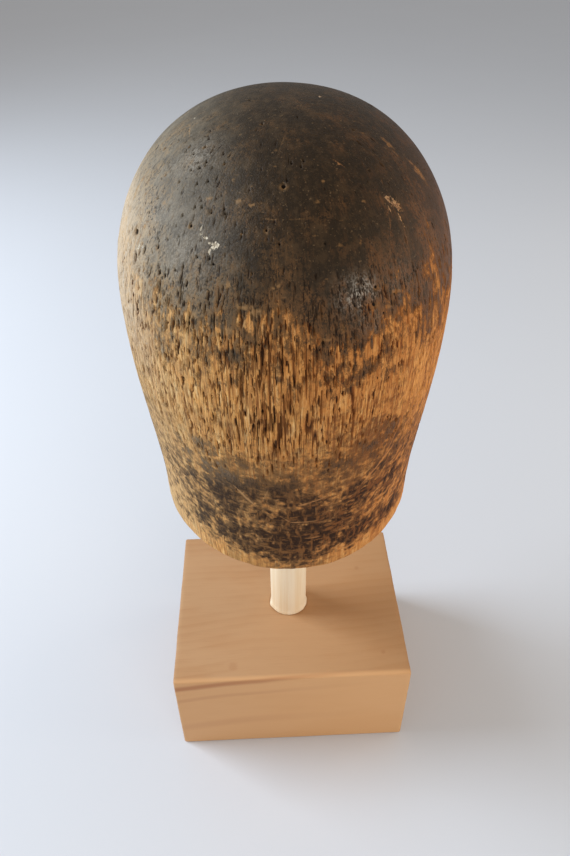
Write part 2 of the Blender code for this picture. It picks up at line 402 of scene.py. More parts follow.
class Wear:
    """Everything that has happened to the surface, as fields on the side's grid."""

    def __init__(self):
        self.finish = finish_field()
        self.grime = grime_field()
        self.torn = torn_field()
        self.furrow = furrow_field(self.torn)
        # The slit field is how dark the slots and furrows are painted: painted shade in them.
        self.slit = FURROW_DARKNESS * self.furrow
        self.depth, self.hole, self.rim, self.chip, self.scratch = np.zeros((5, *self.torn.shape))
        self.dust_and_sheen = patches(DUST_AND_SHEEN_PATCHES)

    def slot(self, turn_deg, down_mm, half_wide, half_tall, depth, lean=0.0, dark=1.0):
        """A lens-shaped slot in the grain."""
        where, across, down = side.near(turn_deg, down_mm, half_tall + 1.5)
        share = down / half_tall
        wide = half_wide * np.sqrt(np.clip(1 - share * share, 0.0001, 1))
        inside = np.clip(1 - ((across - lean * down) / wide) ** 2, 0, 1) * (np.abs(share) < 1)
        raise_to(self.depth, where, depth * inside**0.7)
        raise_to(self.slit, where, dark * inside)

    def pin_hole(self, turn_deg, down_mm, radius, rim):
        where, across, down = side.near(turn_deg, down_mm, radius * 4)
        distance = np.hypot(across, down) / radius
        raise_to(self.depth, where, 1.6 * np.clip(1.25 - distance, 0, 1))
        raise_to(self.hole, where, np.clip(1 - distance / 2, 0, 1))
        if rim:
            ring = np.hypot(across * 0.8, down - radius * 0.6) / (radius * 3)
            raise_to(self.rim, where, np.clip(1 - ring, 0, 1))

    def gouge(self, turn_deg, down_mm, half_wide, half_tall, depth, rim):
        where, distance = ragged_oval((turn_deg, down_mm), half_wide, half_tall, 3, 0.35, 1.6, 21, 2)
        raise_to(self.depth, where, depth * smooth(1.15, 0.2, distance))
        raise_to(self.hole, where, 0.8 * np.clip(1 - distance / 2, 0, 1))
        if rim:
            raise_to(self.rim, where, np.clip(1.25 - distance / 1.9, 0, 1))

    def flake(self, turn_deg, down_mm, half_wide, half_tall, tilt_deg):
        """A ragged place where a flake has come off and left clean wood."""
        where, distance = ragged_oval(
            (turn_deg, down_mm), half_wide, half_tall, 2.6, 0.7, 1.5, 22, 3, 0.8, tilt_deg=tilt_deg
        )
        raise_to(self.depth, where, 0.25 * smooth(1.1, 0.7, distance))
        raise_to(self.chip, where, np.clip(1.4 - distance, 0, 1))

    def fleck(self, turn_deg, down_mm, half_wide, half_tall, strength):
        """A small soft spot where the finish is rubbed thin."""
        where, distance = ragged_oval((turn_deg, down_mm), half_wide, half_tall, 2.2, 0.6, 1.1, 24, 2)
        raise_to(self.rim, where, strength * smooth(1.5, 0.3, distance))

    def scratched(self, start, end, half_wide, strength):
        """A thin line from one place to another."""
        middle = lerp(np.array(start), np.array(end), 0.5)
        first, last = (side.points[side.cell(*place)] for place in (start, end))
        row, column = side.cell(*middle)
        where, across, down = side.near(*middle, np.linalg.norm(last - first) / MM / 2 + 2)
        axes = np.stack([side.along[row, column], side.downward[row, column]])
        a, b = ((axes @ (place - side.points[row, column])) / MM for place in (first, last))
        line = b - a
        share = ((across - a[0]) * line[0] + (down - a[1]) * line[1]) / max(line @ line, 1e-6)
        share = np.clip(share, 0, 1)
        gap = np.hypot(across - a[0] - share * line[0], down - a[1] - share * line[1])
        gap = gap + 0.25 * half_wide * noise(side.points[where], 2, 23, 2)
        fade = 0.35 + 0.65 * np.sqrt(4 * share * (1 - share) + 0.02)
        mark = np.clip(1 - gap / (2 * half_wide), 0, 1) * strength * fade
        raise_to(self.depth, where, 0.12 * mark)
        raise_to(self.scratch, where, mark)


# Holes left by pins and nails: turn, down, radius in mm, and 1 if bare wood shows round the hole.
PIN_HOLES = (
    (195.8, 55, 0.8, 1), (212.9, 50, 0.5, 0), (213.1, 48, 0.4, 1), (222.3, 44.8, 0.6, 1),
    (216.5, 38.2, 0.5, 0), (235.2, 45, 0.5, 0), (238.7, 48.2, 0.4, 1), (230.1, 58.8, 0.5, 0),
    (214, 71.2, 0.6, 0), (211.1, 62.2, 0.5, 1), (234.2, 74.2, 0.7, 1), (245.2, 64.8, 0.4, 0),
    (267, 54.2, 0.9, 1), (261.3, 70.5, 0.5, 1), (265.6, 74.8, 0.4, 0), (223.2, 87, 0.8, 1),
    (226.3, 94.8, 0.8, 0), (228.6, 95.2, 0.6, 0), (237, 94.6, 0.6, 0), (229.5, 71.5, 0.5, 0),
    (221, 61, 0.5, 0), (233.5, 67.5, 0.5, 0), (236.2, 66.2, 0.5, 0), (240.6, 67, 0.5, 0),
    (227, 53, 0.6, 0), (224.5, 51.5, 0.5, 0), (223.6, 55.4, 0.5, 0), (229, 50.2, 0.6, 0),
    (234.6, 57, 0.5, 0), (219, 49, 0.6, 0), (220.3, 41, 0.5, 0), (218.1, 40.2, 0.5, 0),
    (232.5, 91, 0.5, 0), (221.9, 83.5, 0.5, 0), (212.6, 78, 0.6, 0), (294.8, 94.2, 0.7, 1),
    (293.4, 100, 0.8, 1), (287.5, 99, 0.5, 0), (290.4, 103.5, 0.5, 0), (301, 99.5, 0.5, 0),
    (296.5, 104.5, 0.5, 0), (291, 92.2, 0.5, 0), (288.6, 95.5, 0.5, 0), (275.5, 47, 0.4, 0),
    (271, 45.5, 0.4, 0),
)
# Larger holes where wood has broken out: turn, down, half width and half height in mm, depth, bare rim.
GOUGES = (
    (208.8, 88.2, 2.5, 1.8, 1.8, 1), (214.9, 89.5, 1, 0.8, 0.9, 1), (243.7, 82.8, 0.7, 0.8, 1.2, 0),
    (245, 84.5, 0.7, 0.7, 1.2, 0), (238.8, 109, 0.8, 5.6, 1.8, 1), (294.4, 131.5, 0.6, 1.2, 0.7, 0),
    (298.5, 134.2, 0.6, 1, 0.6, 0), (226.2, 106, 0.8, 2, 1.3, 0), (196.2, 118, 1.4, 3.2, 1.4, 1),
    (188, 131, 1.3, 3.6, 1.3, 0), (201, 142, 1.3, 3, 1.2, 0), (60, 101, 1.5, 2.2, 1.3, 1),
    (118, 93, 1.7, 1.4, 1.2, 1), (16, 98, 1.2, 2, 1.1, 1),
)
# Nicks along the grain, on the left of the front: turn, down, half width, half height and depth in mm.
NICKS = (
    (203.3, 91.8, 0.8, 1.4, 1), (205.2, 89.2, 0.8, 1.3, 1), (214.5, 93.2, 0.8, 1.7, 1.4),
    (217, 91.5, 0.8, 2, 1.5), (212.6, 97, 1.3, 2.6, 2), (226.1, 95.2, 0.7, 1.2, 1.2),
    (228.8, 95, 0.6, 0.9, 1), (227.2, 100.2, 0.8, 2.9, 1.6), (225.9, 105.2, 0.5, 1.8, 1.1),
    (231.3, 104.2, 0.5, 2.2, 1.2), (216, 115.5, 0.5, 1.8, 1.1), (210.9, 110, 0.6, 1.8, 1.1),
    (218.7, 98, 0.5, 0.9, 1), (226.4, 81.8, 0.5, 0.6, 0.9), (217.6, 84.5, 0.5, 0.7, 0.7),
    (237.3, 94.5, 0.7, 0.9, 1.2), (235.1, 89.2, 0.45, 1, 1),
)
# Flakes and chips down to clean wood: turn, down, half width and half height in mm, tilt.
CHIPS = (
    (215.4, 90.6, 0.8, 0.8, 20), (213.4, 92.2, 0.5, 0.8, 0), (209.8, 86.4, 0.9, 0.5, 0),
    (240.8, 76.4, 1.5, 0.6, 28), (244.6, 78.2, 1.9, 1.7, 15), (239.2, 75.4, 0.5, 0.7, 50),
    (238.6, 73.2, 0.3, 1.3, 5), (243.4, 80.6, 0.5, 1.6, 0), (242.8, 77.4, 1.2, 0.4, 30),
    (208.6, 80.8, 0.9, 0.5, 0), (308.9, 66.4, 1.5, 1.1, 30), (310.7, 69.6, 2.4, 1.5, 45),
    (311.8, 72, 1.5, 1.1, 20), (310.6, 75.6, 0.4, 2.4, 0), (307.4, 70, 0.3, 1.8, 0),
    (336, 66, 0.6, 1.6, 0), (329.4, 51, 0.5, 1.4, 0), (150, 62, 2.4, 1.3, 20), (74, 78, 1.8, 1.5, 50),
    (32, 58, 1.6, 1.2, 10), (101, 47, 1.3, 1, 0), (343.4, 15.2, 0.9, 0.5, 0), (189.5, 38.5, 1.4, 0.5, 160),
)
# Small spots where the finish is rubbed thin: turn, down, half width and half height in mm, strength.
FLECKS = (
    (249.9, 61.2, 1.5, 0.9, 0.9), (255.5, 61.8, 1.2, 0.8, 1), (238.1, 62.5, 1.5, 0.7, 0.8),
    (215.3, 76.5, 1.2, 0.9, 0.7), (218.5, 71.2, 1.4, 0.8, 0.8), (283.9, 54, 0.9, 0.7, 0.9),
    (279.4, 61.2, 1.3, 1, 0.7), (297.8, 64, 1, 1, 0.7), (285.2, 77.2, 0.9, 0.7, 0.7),
    (277.1, 72.5, 0.8, 0.6, 0.6), (291.7, 78, 1.3, 0.8, 0.7), (320.7, 40, 1.2, 1, 0.7),
    (262.6, 40, 1, 0.8, 0.6), (263.2, 46.8, 0.8, 0.6, 0.7), (245.5, 53.8, 0.9, 0.9, 0.6),
    (238.3, 35, 0.7, 0.6, 0.7), (265.4, 88.8, 0.8, 0.9, 1), (263.9, 89.8, 0.8, 1, 1),
    (250.5, 90.5, 1.2, 1.3, 0.9), (272, 66.5, 5, 0.4, 0.5), (263, 66.2, 3, 0.4, 0.5),
    (253.5, 72.5, 1.3, 0.8, 0.8), (256, 97, 3.6, 1.1, 1), (259, 99, 2.5, 1.6, 1), (252, 107, 3.2, 1.6, 0.9),
    (247.5, 109, 2.2, 1.2, 0.9), (256.5, 111.5, 3, 1, 0.8), (240.5, 104.5, 1.6, 2.2, 0.9),
    (279, 109, 2.5, 0.8, 0.9), (283.5, 106.5, 1, 2.6, 0.7), (301.5, 98.5, 2.4, 1, 0.9),
    (298, 103, 2, 0.9, 0.8), (330.6, 49.5, 1.3, 3.4, 0.8), (329, 54, 0.8, 2.6, 0.6),
    (335, 62, 1.2, 2.6, 0.8), (335.8, 67, 2.4, 3.2, 1.1), (336.8, 71, 1.6, 2.6, 0.8),
)
# Scratches: start, end, half width in mm, strength.
SCRATCHES = (
    ((192.2, 41.2), (207.9, 45.2), 0.3, 0.7), ((187.4, 38), (189, 33), 0.45, 0.7),
    ((243.2, 58.5), (245.2, 64.8), 0.2, 0.5), ((297.6, 47.5), (290.9, 49.5), 0.22, 0.8),
    ((310.3, 58.8), (309.6, 61.8), 0.3, 0.5), ((304, 73.5), (309, 68), 0.25, 0.5),
    ((248.8, 190.6), (256.3, 204.5), 0.6, 1), ((269.8, 202.4), (281.4, 196.8), 0.5, 1),
    ((268.9, 215.6), (278.9, 216.3), 0.5, 0.9), ((264.5, 210), (268.9, 215.6), 0.4, 0.7),
    ((258.8, 199), (261.3, 189), 0.4, 0.7), ((307.3, 179.8), (295, 197.2), 0.7, 1),
    ((306.9, 170), (302.3, 187), 0.5, 0.8), ((255.5, 232.8), (262, 231.8), 0.35, 0.7),
    ((255, 239), (261.5, 239.4), 0.35, 0.7), ((273.9, 231.6), (281.4, 231.4), 0.3, 0.7),
    ((269, 225), (279, 225.5), 0.25, 0.6), ((277.6, 203), (278.2, 212), 0.3, 0.6),
    ((286, 92), (296, 90), 0.22, 0.5), ((276, 118), (281, 126), 0.3, 0.7),
    ((281, 126), (284, 131), 0.3, 0.7), ((245, 57), (252, 59), 0.2, 0.5),
    ((270, 30), (263.5, 44), 0.2, 0.5), ((307.2, 69.5), (302.4, 84), 0.35, 0.5),
    ((310.6, 76), (309.4, 92), 0.4, 0.45), ((318.5, 34), (321.5, 39), 0.3, 0.35),
    ((330, 46.5), (328.8, 57), 0.5, 0.3), ((335.2, 60), (335.8, 76), 0.6, 0.3),
    ((291.2, 45.6), (296.4, 50.8), 0.25, 0.7),
)
# Grey patches in the finish: turn, down, half width and half height in mm, strength. Those on the right of
# the front are dust. Those on the left of the front, turns 213 to 235, are partly dust and partly a painted
# sheen where the light from the left falls.
DUST_AND_SHEEN_PATCHES = (
    (290, 96, 8, 6, 1.0), (293, 106, 7, 6, 0.7), (221, 51, 9, 8, 0.4), (213, 80, 12, 9, 0.5),
    (235, 88, 16, 14, 0.25), (246, 178, 9, 5, 0.35), (268, 128, 5, 5, 0.5), (214, 100, 9, 12, 0.4),
    (303, 98, 9, 8, 0.4),
)
# Places where the finish is rubbed through: turn, down, half width and half height in mm, strength.
RUBBED = (
    (321, 94, 1.6, 8, 0.22), (318.6, 99, 2.4, 4, 0.24), (322.2, 108, 2, 7, 0.35), (315.3, 96, 2, 3, 0.26),
    (335.6, 67.5, 1.5, 6, 0.25), (256, 102, 6, 4, 0.6), (238.6, 109, 1.5, 7, 0.9), (309.5, 70, 5, 4, 0.3),
    (249, 110, 6, 4.5, 0.6), (327, 84, 2, 8, 0.24), (281, 113, 5, 1.6, 0.7), (307, 104, 6, 2.5, 0.4),
    (325.5, 114, 2, 6, 0.4), (262, 103, 2.6, 7, 0.8), (268, 106, 4, 6, 0.55), (218, 104, 4, 5, 0.4),
    (231, 109, 4, 5, 0.4), (284, 116, 8, 6, 0.4), (292, 116, 7, 6, 0.35),
)
DEEPEST_MM = 3.2


def scattered(count, down_low, down_high, chance):
    """Random places between two levels, each kept with the chance that the field gives there."""
    turns = rng.uniform(0, 360, count)
    downs = rng.uniform(down_low, down_high, count)
    draws = rng.uniform(0, 1, count)
    for turn_deg, down_mm, draw in zip(turns, downs, draws):
        row, column = side.cell(turn_deg, down_mm)
        if draw < chance[row, column] * side.half_width[row] / side.half_width.max():
            yield turn_deg, down_mm


def worn_block():
    """All of the block's wear, the marks listed and those drawn at random between them."""
    wear = Wear()
    draw, swerve = rng.uniform, rng.normal
    torn, down, turn = wear.torn, side.down_all, side.turn_all
    left = hump(turn, 222, 28)
    rear = hump(turn, 60, 60)
    band = smooth(86, 110, down) * (1 - smooth(160, 184, down))
    middle = hump(turn, 264, 34) * smooth(78, 98, down)

    # Deep dark slots where the grain is torn most.
    for place in scattered(900, 92, 168, smooth(0.3, 0.95, torn) * 0.7):
        tall, dark = draw(3, 10), draw(0.4, 1.1)
        wear.slot(*place, draw(0.25, 0.5), tall, draw(0.8, 1.8), swerve(0, 0.01), dark)
    # Short slots all round the torn band.
    for place in scattered(6000, 92, 186, band * (0.34 + 0.4 * left)):
        tall, dark = draw(0.7, 2.9), draw(0.3, 1.1)
        wear.slot(*place, draw(0.25, 0.55), tall, draw(0.5, 1.4), swerve(0, 0.03), dark)
    # Specks in the finish above it, thickest on the left, and longer towards the band at the front.
    above = smooth(24, 44, down) * (1 - smooth(112, 128, down))
    for place in scattered(7200, 30, 128, above * (0.045 + 0.3 * left + 0.85 * middle + 0.09 * rear)):
        longer = 1 + 1.2 * smooth(78, 105, place[1]) * smooth(234, 250, place[0])
        tall, dark = draw(0.3, 1.1) * longer, draw(0.3, 1)
        wear.slot(*place, draw(0.22, 0.42), tall, draw(0.25, 0.8), swerve(0, 0.08), dark)
    # Coarse pits in the bare wood on the left.
    for place in scattered(1500, 84, 176, left * smooth(96, 112, down) * (1 - smooth(160, 176, down))):
        tall = draw(0.8, 2.7)
        wear.slot(*place, draw(0.35, 0.75), tall, draw(0.8, 1.9), swerve(0, 0.06), draw(0.5, 1.1))
    # A spot rubbed to fine pits, on the right of the front.
    for place in zip(swerve(291.5, 3, 80), swerve(96, 5, 80)):
        wear.slot(*place, draw(0.25, 0.45), draw(0.3, 1), draw(0.3, 0.6), 0.0, 0.8)
    # Fine pits in the lower part.
    lower = smooth(165, 185, down) * (1 - smooth(240, 254, down))
    for place in scattered(2400, 168, 252, lower * 0.5):
        dark = draw(0.3, 0.8)
        wear.slot(*place, draw(0.2, 0.45), draw(0.4, 1.6), draw(0.2, 0.5), swerve(0, 0.1), dark)

    for hole in PIN_HOLES:
        wear.pin_hole(*hole)
    for place in scattered(260, 14, 118, 0.2 + 0.6 * left):
        wear.pin_hole(*place, draw(0.25, 0.5), draw() < 0.3)
    for gouge in GOUGES:
        wear.gouge(*gouge)
    for nick in NICKS:
        wear.slot(*nick)
    for chip in CHIPS:
        wear.flake(*chip)
    for fleck in FLECKS:
        wear.fleck(*fleck)
    for place in scattered(1300, 10, 112, 0.14 + 0.25 * left + 0.25 * smooth(60, 100, down)):
        wear.fleck(*place, draw(0.3, 1), draw(0.25, 0.6), draw(0.3, 0.8) ** 1.5)
    for scratch in SCRATCHES:
        wear.scratched(*scratch)
    for turn_deg, down_mm in scattered(200, 20, 245, 0.8 + 0 * down):
        end = (turn_deg + draw(-8, 8), down_mm + draw(-7, 7))
        wear.scratched((turn_deg, down_mm), end, draw(0.15, 0.25), draw(0.2, 0.6))
    streaks = 0.4 + 1.3 * noise(side.grain, (1.3, 1.3, 9), 31, 2)
    wear.finish = wear.finish - 4.0 * patches(RUBBED) * streaks
    return wear


def worn_depth(wear):
    """How far each point of the side has gone in, in mm."""
    points, down, turn = side.points, side.down_all, side.turn_all
    bare = smooth(0.25, -0.25, wear.finish)
    left = hump(turn, 218, 34) * smooth(34, 60, down) * (1 - smooth(150, 180, down))
    ridges = noise(side.grain, (1.8, 1.8, 22), 41, 3, 0.6)
    fibres = noise(side.grain, (0.9, 0.9, 7), 42, 2)
    dimples = noise(points, (2.2, 2.2, 3.4), 46, 3, 0.6)
    depth = 0.16 * (1 + noise(points, 34, 43, 2)) + 0.03 * (1 + noise(points, (6, 6, 9), 44, 2))
    depth = depth + 0.1 * bare + 0.9 * wear.furrow * wear.torn
    depth = depth + wear.torn * (0.35 + 0.4 * np.clip(ridges, -1, 1))
    depth = depth + 0.1 * (0.3 + wear.torn) * bare * fibres
    depth = depth + (0.4 * left + 0.08) * np.clip(dimples - 0.4, 0, 2)
    depth = depth + smooth(*WORN_RIM_MM, down) * 0.35 * (1 + noise(points, 9, 45, 3))
    depth = depth * smooth(0, 6, down) + wear.depth
    return np.clip(depth, 0, DEEPEST_MM)


# Meshes lofted through rings of points.


def loft_faces(counts, starts):
    """Faces between rings whose numbers of points are the same, or change by a factor of two."""
    faces = []
    for upper, lower, a, b in zip(counts, counts[1:], starts, starts[1:]):
        least = min(upper, lower)
        i = np.arange(least)
        j = (i + 1) % least
        if upper == lower:
            faces.append(np.stack([a + i, b + i, b + j, a + j], axis=1))
            continue
        k = 2 * i
        middle, last = k + 1, (k + 2) % (2 * least)
        if lower > upper:
            trios = ((a + i, b + k, b + middle), (a + i, b + middle, a + j), (a + j, b + middle, b + last))
        else:
            trios = ((a + k, b + i, a + middle), (a + middle, b + i, b + j), (a + middle, b + j, a + last))
        faces += [np.stack(corners, axis=1) for corners in trios]
    return faces


def fan(tip, start, count, upward):
    i = np.arange(count)
    j = (i + 1) % count
    first, second = (start + i, start + j) if upward else (start + j, start + i)
    return np.stack([np.full(count, tip), first, second], axis=1)


def mesh_from(name, points, faces):
    """A mesh from points and groups of faces with three or four corners."""
    mesh = bpy.data.meshes.new(name)
    corners = np.concatenate([group.ravel() for group in faces])
    sizes = np.concatenate([np.full(len(group), group.shape[1]) for group in faces])
    starts = np.concatenate([[0], np.cumsum(sizes)[:-1]])
    mesh.vertices.add(len(points))
    mesh.vertices.foreach_set("co", np.asarray(points, np.float32).ravel())
    mesh.loops.add(len(corners))
    mesh.loops.foreach_set("vertex_index", corners.astype(np.int32))
    mesh.polygons.add(len(sizes))
    mesh.polygons.foreach_set("loop_start", starts.astype(np.int32))
    mesh.update(calc_edges=True)
    mesh.shade_smooth()
    return mesh


def loft_rings(first, rings, last):
    """The points and faces of a closed form from a first point, rings of points and a last point."""
    counts = [len(ring) for ring in rings]
    starts = list(1 + np.concatenate([[0], np.cumsum(counts)[:-1]]))
    points = np.concatenate([[first], *rings, [last]])
    faces = [fan(0, starts[0], counts[0], True)]
    faces += loft_faces(counts, starts)
    faces.append(fan(len(points) - 1, starts[-1], counts[-1], False))
    return points, faces


def store(mesh, name, values):
    """Keeps a number or a place for each of a mesh's points."""
    values = np.asarray(values, np.float32)
    kind, key = ("FLOAT", "value") if values.ndim == 1 else ("FLOAT_VECTOR", "vector")
    mesh.attributes.new(name, kind, "POINT").data.foreach_set(key, values.ravel())


def read(layer, key):
    """The three numbers that a mesh keeps for each of its points."""
    values = np.empty(3 * len(layer), np.float32)
    layer.foreach_get(key, values)
    return values.reshape(-1, 3).astype(float)


def new_object(name, data):
    made = bpy.data.objects.new(name, data)
    bpy.context.scene.collection.objects.link(made)
    return made


def place_object(name, mesh, body, node):
    piece = new_object(name, mesh)
    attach(piece, body)
    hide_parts(node)
    return piece


# The block's own map for a baked picture. The back half of its side, its front half, its underside and its
# socket each take a band across the whole map, and these are the bands' lowest and highest places.
MAP_BANDS = np.array([(0.004, 0.440), (0.446, 0.882), (0.888, 0.955), (0.961, 0.996)])
MAP_MARGIN = 0.003


def block_map(faces, shares, levels):
    """Each corner's place on the map, from each point's share of the whole turn and its level.

    A level is 0 to 1 down the side, 1 to 2 across the underside and 2 to 3 up the socket.
    """
    places = []
    for group in faces:
        share, level = shares[group], levels[group]
        known = ~np.isnan(share)
        highest = np.where(known, share, -1).max(axis=1, keepdims=True)
        share = np.where(share < highest - 0.5, share + 1, share)
        middle = np.nanmean(share, axis=1, keepdims=True)
        share = np.where(known, share, middle)
        front = middle >= 0.5
        deepest = level.max(axis=1, keepdims=True)
        band = np.where(deepest <= 1, front, np.where(deepest <= 2, 2, 3))
        across = np.where(band < 2, share * 2 - front, share)
        lowest, highest = np.moveaxis(MAP_BANDS[band], -1, 0)
        u = MAP_MARGIN + (1 - 2 * MAP_MARGIN) * across
        v = lerp(lowest, highest, level - np.maximum(band - 1, 0))
        places.append(np.stack([u, v], axis=-1).reshape(-1, 2))
    return np.concatenate(places)


def columns_at(half_width):
    """How many columns a ring keeps as the crown closes in."""
    count = COLUMNS
    while count > FEWEST_COLUMNS and half_width < side.half_width.max() * count / COLUMNS * 0.5:
        count //= 2
    return count


FIELDS = ("finish", "grime", "torn", "slit", "hole", "rim", "chip", "scratch", "dust_and_sheen")
# How much finish the underside and the socket have: none.
NO_FINISH = -2.0
UNDERSIDE_SAG_MM = 0.12


def head_piece():
    wear = worn_block()
    points = side.points - side.normal * (worn_depth(wear) * MM)[..., None]
    rows = len(side.down)
    steps = [COLUMNS // columns_at(half_width) for half_width in side.half_width]

    def kept(field):
        """A field's rows, each with only the columns that its ring keeps."""
        return [field[row, ::step] for row, step in enumerate(steps)]

    rings = kept(points)
    levels = [(row + 1) / rows for row in range(rows)]
    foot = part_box("head_block")[0][2]
    mouth = circle(SOCKET_RADIUS, foot, np.radians(side.turn))
    for i in range(1, UNDERSIDE_RINGS + 1):
        share = i / UNDERSIDE_RINGS
        step = COLUMNS // max(SOCKET_COLUMNS, COLUMNS >> i)
        ring = lerp(points[-1, ::step], mouth[::step], share)
        flat = smooth(0, 0.1, share) * smooth(1, 0.95, share)
        ring[:, 2] = foot + UNDERSIDE_SAG_MM * (1 + noise(ring, 12, 53, 3)) * flat * MM
        rings.append(ring)
        levels.append(1 + share)
    for i in range(1, SOCKET_RINGS + 1):
        rings.append(mouth[:: COLUMNS // SOCKET_COLUMNS] + (0, 0, SOCKET_DEPTH * i / SOCKET_RINGS))
        levels.append(2 + i / (SOCKET_RINGS + 1))
    all_points, faces = loft_rings(points[0].mean(axis=0), rings, (0, 0, foot + SOCKET_DEPTH))
    mesh = mesh_from("hat_block", all_points, faces)

    counts = [len(ring) for ring in rings]
    shares = np.concatenate([[np.nan], *[np.arange(count) / count for count in counts], [np.nan]])
    corner_places = block_map(faces, shares, np.concatenate([[0], np.repeat(levels, counts), [3]]))
    own_map = mesh.uv_layers.new(name="OFBake")
    own_map.uv.foreach_set("vector", corner_places.astype(np.float32).ravel())

    rest = sum(counts[rows:]) + 1
    store(mesh, "grain", np.concatenate([all_points[:1], *kept(side.grain), all_points[-rest:]]))
    for name in FIELDS:
        values = kept(getattr(wear, name))
        end_values = np.full(rest, NO_FINISH if name == "finish" else 0.0)
        store(mesh, name, np.concatenate([[values[0].mean()], *values, end_values]))
    return place_object("hat_block", mesh, "block", "head_block")


# The base: a sawn block of softwood with a round hole for the post.

# Points round each corner of its outline, and along each side, from the right side counter-clockwise.
CORNER_POINTS = 6
SIDE_POINTS = (60, 76, 60, 76)
# Rings up the hole, across the top, round each eased edge, down the sides and across the underside.
HOLE_RINGS = 13
TOP_RINGS = 32
EASE_RINGS = 5
SIDE_RINGS = 37
FOOT_RINGS = 16
# How far from an edge the wood is knocked back.
KNOCKED_REACH = 0.003


def rounded_rectangle(half_x, half_y, radius, height):
    """A ring of points, counter-clockwise from the front of the right side."""
    centres = np.array([(1, -1), (1, 1), (-1, 1), (-1, -1)]) * (half_x - radius, half_y - radius)
    points = []
    for index, count in enumerate(SIDE_POINTS):
        turn = np.radians(90 * (index - 1 + np.arange(CORNER_POINTS + 1) / CORNER_POINTS))
        arc = radius * np.stack([np.cos(turn), np.sin(turn)], axis=1)
        points.append(centres[index] + arc[:-1])
        straight = np.linspace(centres[index], centres[(index + 1) % 4], count, endpoint=False)
        points.append(straight + arc[-1])
    points = np.concatenate(points)
    return np.column_stack([points, np.full(len(points), height)])


def base_piece():
    low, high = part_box("base_block")
    half_x, half_y, tall = (high[0] - low[0]) / 2, (high[1] - low[1]) / 2, high[2]
    bottom, ease = tall - POST_HOLE_DEPTH, BASE_EDGE_RADIUS

    def outline(inset, height):
        return rounded_rectangle(half_x - inset, half_y - inset, BASE_CORNER_RADIUS - inset, height)

    around = outline(0, tall)
    turn = np.arctan2(around[:, 1], around[:, 0])
    rings = [circle(POST_HOLE_RADIUS, z, turn) for z in np.linspace(bottom, tall, HOLE_RINGS, endpoint=False)]
    rings.append(circle(POST_HOLE_RADIUS, tall - POST_HOLE_EASE, turn))
    rings.append(circle(POST_HOLE_RADIUS + POST_HOLE_EASE, tall, turn))
    inner, outer = rings[-1], outline(ease, tall)
    rings += [lerp(inner, outer, i / TOP_RINGS) for i in range(1, TOP_RINGS + 1)]
    bends = [math.pi / 2 * i / EASE_RINGS for i in range(1, EASE_RINGS + 1)]
    rings += [outline(ease * (1 - math.sin(bend)), tall - ease * (1 - math.cos(bend))) for bend in bends]
    rings += [outline(0, height) for height in np.linspace(tall - ease, ease, SIDE_RINGS + 1)[1:]]
    rings += [outline(ease * (1 - math.cos(bend)), ease * (1 - math.sin(bend))) for bend in bends]
    outer = rings[-1]
    rings += [outer * (share, share, 1) for share in 1 - np.arange(1, FOOT_RINGS) / FOOT_RINGS]
    mesh = mesh_from("base", *loft_rings((0, 0, bottom), rings, (0, 0, 0)))

    # The outside is a little uneven, and more so along its upper edges.
    points, normals = read(mesh.vertices, "co"), read(mesh.vertex_normals, "vector")
    outside = (np.hypot(points[:, 0], points[:, 1]) > POST_HOLE_RADIUS + 1 * MM) & (points[:, 2] > 0.1 * MM)
    closeness = smooth(KNOCKED_REACH, 0, (half_x, half_y, tall) - np.abs(points))
    near_edge = np.clip(closeness.sum(axis=1) - 1, 0, 1)
    depth = 0.02 * (1 + noise(points, (60, 5, 5), 61, 3)) + 0.05 * (1 + noise(points, 30, 62, 2))
    depth = depth + 0.22 * near_edge * (1 + noise(points, 12, 63, 3))
    points = points - normals * (np.clip(depth, 0, 1) * outside * MM)[:, None]
    mesh.vertices.foreach_set("co", points.astype(np.float32).ravel())
    mesh.update()
    return place_object("base", mesh, "stand", "base_block")


# The post: a birch dowel, its fibres crushed outwards where it enters the base.

POST_COLUMNS = 192
# Rings inside the base and above it, and the heights in mm of those round the crushed fibres.
POST_FOOT_RINGS = 14
POST_BARE_RINGS = 90
LIP_HEIGHTS_MM = (0.04, 0.12, 0.3, 0.6, 1.0, 1.5, 2.1, 2.8, 3.6, 4.5, 6.0)
LIP_CLEAR_MM = 8


def post_piece():
    low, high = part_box("post")
    radius, base_top = (high[0] - low[0]) / 2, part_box("base_block")[1][2]
    shoulder = radius - POST_CHAMFER
    turn = math.tau * np.arange(POST_COLUMNS) / POST_COLUMNS
    heights = [*np.linspace(low[2] + POST_CHAMFER, base_top - 1 * MM, POST_FOOT_RINGS)]
    heights += [base_top + above * MM for above in LIP_HEIGHTS_MM]
    heights += [*np.linspace(base_top + LIP_CLEAR_MM * MM, high[2] - POST_CHAMFER, POST_BARE_RINGS)]
    rings = [circle(radius, height, turn) for height in reversed(heights)]
    rings = [circle(shoulder, high[2], turn), *rings, circle(shoulder, low[2], turn)]
    lean = 0.45 + 0.8 * hump(np.degrees(turn), 196, 13) + 0.35 * hump(np.degrees(turn), 335, 30)
    for ring in rings:
        above = (ring[:, 2] - base_top) / MM
        lip = smooth(0.02, 0.1, above) * smooth(4.6, 0.8, above)
        swell = lean + 0.12 * noise(ring, (2, 2, 3), 71, 3)
        ring[:, :2] *= (1 + lip * swell * MM / radius)[:, None]
    mesh = mesh_from("dowel", *loft_rings((0, 0, high[2]), rings, (0, 0, low[2])))
    return place_object("dowel", mesh, "post", "post")


# Node materials.


def srgb(*tone):
    """A colour given as it looks on a screen, from 0 to 255, as the shader's light values."""
    return tuple(((c / 255 + 0.055) / 1.055) ** 2.4 if c > 10 else c / 255 / 12.92 for c in tone)


